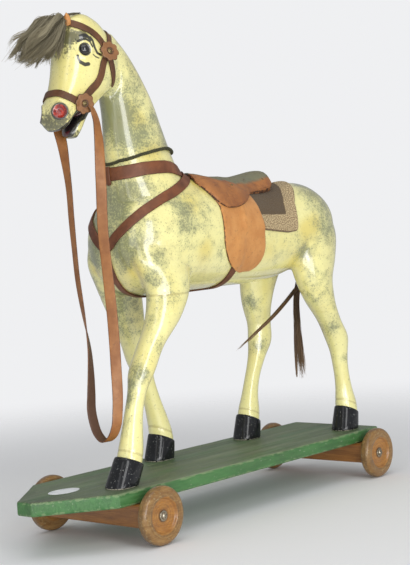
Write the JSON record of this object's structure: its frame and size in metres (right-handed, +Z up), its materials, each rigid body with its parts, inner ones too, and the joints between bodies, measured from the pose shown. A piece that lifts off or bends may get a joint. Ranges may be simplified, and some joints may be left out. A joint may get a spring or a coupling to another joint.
{
  "type": "toy horse on wheels",
  "caption": "Carved wooden toy horse with painted body, glass eyes, leather bridle, saddle and reins, standing on a narrow board with turned wooden wheels that spin.",
  "frame": {"origin": "on the floor under the middle of the board", "axes": "+Z up; the horse faces -X; its left side is -Y"},
  "size_m": [0.619, 0.2068, 0.6377],
  "materials": {
    "green_paint": "worn green oil paint on wood",
    "turned_wood": "varnished",
    "beam_wood": "varnished",
    "steel": "dull",
    "cream_paint": "glossy oil paint on carved wood",
    "black_paint": "gloss black paint on wood",
    "eye_glass": "polished black glass",
    "brown_leather": "worn",
    "tan_leather": "worn",
    "suede": "napped",
    "seat_leather": "cracked",
    "tweed": "woven",
    "horsehair": "hair",
    "grey_hair": "hair",
    "dark_cord": "twisted"
  },
  "bodies": {
    "horse": {"beam_screw_front_left": "steel", "beam_screw_front_right": "steel", "beam_screw_rear_left": "steel", "beam_screw_rear_right": "steel", "breast_strap": "brown_leather", "browband": "brown_leather", "cheek_strap_left": "brown_leather", "cheek_strap_right": "brown_leather", "collar_strap": "brown_leather", "crown_strap": "brown_leather", "ear_left": "tan_leather", "ear_right": "tan_leather", "forelock": "grey_hair", "front_axle_beam": "beam_wood", "girth": "brown_leather", "glass_eye_left": "eye_glass", "glass_eye_right": "eye_glass", "hoof_front_left": "black_paint", "hoof_front_right": "black_paint", "hoof_rear_left": "black_paint", "hoof_rear_right": "black_paint", "hoof_screw_front_left": "steel", "hoof_screw_front_right": "steel", "hoof_screw_rear_left": "steel", "hoof_screw_rear_right": "steel", "leg_front_left": "cream_paint", "leg_front_right": "cream_paint", "leg_rear_left": "cream_paint", "leg_rear_right": "cream_paint", "martingale": "brown_leather", "neck_and_head": "cream_paint", "neck_cord": "dark_cord", "noseband": "brown_leather", "platform_board": "green_paint", "rear_axle_beam": "beam_wood", "reins": "tan_leather", "rosette_bit_left": "tan_leather", "rosette_bit_right": "tan_leather", "rosette_temple_left": "tan_leather", "rosette_temple_right": "tan_leather", "saddle_cloth": "tweed", "saddle_flap_left": "suede", "saddle_flap_right": "suede", "saddle_seat": "seat_leather", "tail": "horsehair", "throat_end_left": "brown_leather", "throat_end_right": "brown_leather", "torso": "cream_paint", "wheel_screw_front_left": "steel", "wheel_screw_front_right": "steel", "wheel_screw_rear_left": "steel", "wheel_screw_rear_right": "steel", "wheel_washer_front_left": "steel", "wheel_washer_front_right": "steel", "wheel_washer_rear_left": "steel", "wheel_washer_rear_right": "steel"},
    "wheel_front_left_body": {"wheel_front_left": "turned_wood"},
    "wheel_front_right_body": {"wheel_front_right": "turned_wood"},
    "wheel_rear_left_body": {"wheel_rear_left": "turned_wood"},
    "wheel_rear_right_body": {"wheel_rear_right": "turned_wood"}
  },
  "joints": [
    {"name": "wheel_front_left_spin", "type": "hinge", "parent": "horse", "child": "wheel_front_left_body", "pos_m": [-0.183, -0.0953, 0.035], "axis": [0, 1, 0], "continuous": true},
    {"name": "wheel_front_right_spin", "type": "hinge", "parent": "horse", "child": "wheel_front_right_body", "pos_m": [-0.183, 0.0953, 0.035], "axis": [0, 1, 0], "continuous": true},
    {"name": "wheel_rear_left_spin", "type": "hinge", "parent": "horse", "child": "wheel_rear_left_body", "pos_m": [0.274, -0.0953, 0.035], "axis": [0, 1, 0], "continuous": true},
    {"name": "wheel_rear_right_spin", "type": "hinge", "parent": "horse", "child": "wheel_rear_right_body", "pos_m": [0.274, 0.0953, 0.035], "axis": [0, 1, 0], "continuous": true}
  ]
}
